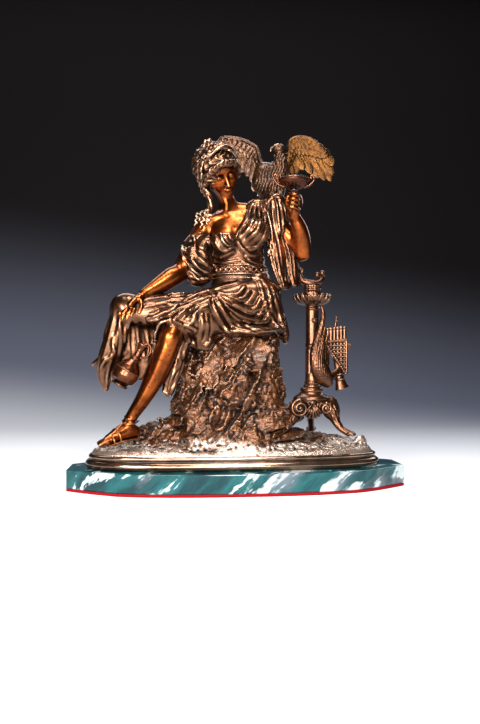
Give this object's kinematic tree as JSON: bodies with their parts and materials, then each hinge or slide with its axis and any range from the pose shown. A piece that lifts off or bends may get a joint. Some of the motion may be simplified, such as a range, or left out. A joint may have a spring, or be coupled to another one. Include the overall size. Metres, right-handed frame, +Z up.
{
  "type": "lady with eagle statue",
  "caption": "Seated draped lady holding a drinking bowl up to an eagle, beside a tripod stand, cast on a moulded oval plinth on a marble slab.",
  "frame": {"origin": "centre of the felt's underside, at the middle of the slab's length and depth", "axes": "+Z up, the lady faces -Y, +X towards the tripod stand at her left hand"},
  "size_m": [0.495, 0.195, 0.5406],
  "materials": {
    "felt": "thin red felt",
    "green_marble": "polished teal-green marble with white veins",
    "ground_bronze": "dusty brown patina on rough cast metal",
    "figure_bronze": "warm brown patina, polished on the skin",
    "gilt_bronze": "golden brown granular patina",
    "dark_bronze": "dark brown patina"
  },
  "bodies": {
    "root": {"felt_pad": "felt", "marble_slab": "green_marble", "terrace": "ground_bronze", "lady": "figure_bronze", "eagle": "gilt_bronze", "drinking_bowl": "figure_bronze", "ewer": "figure_bronze", "tripod_stand": "dark_bronze", "column": "figure_bronze", "swan_lyre": "dark_bronze", "pan_pipes": "dark_bronze"}
  },
  "joints": []
}
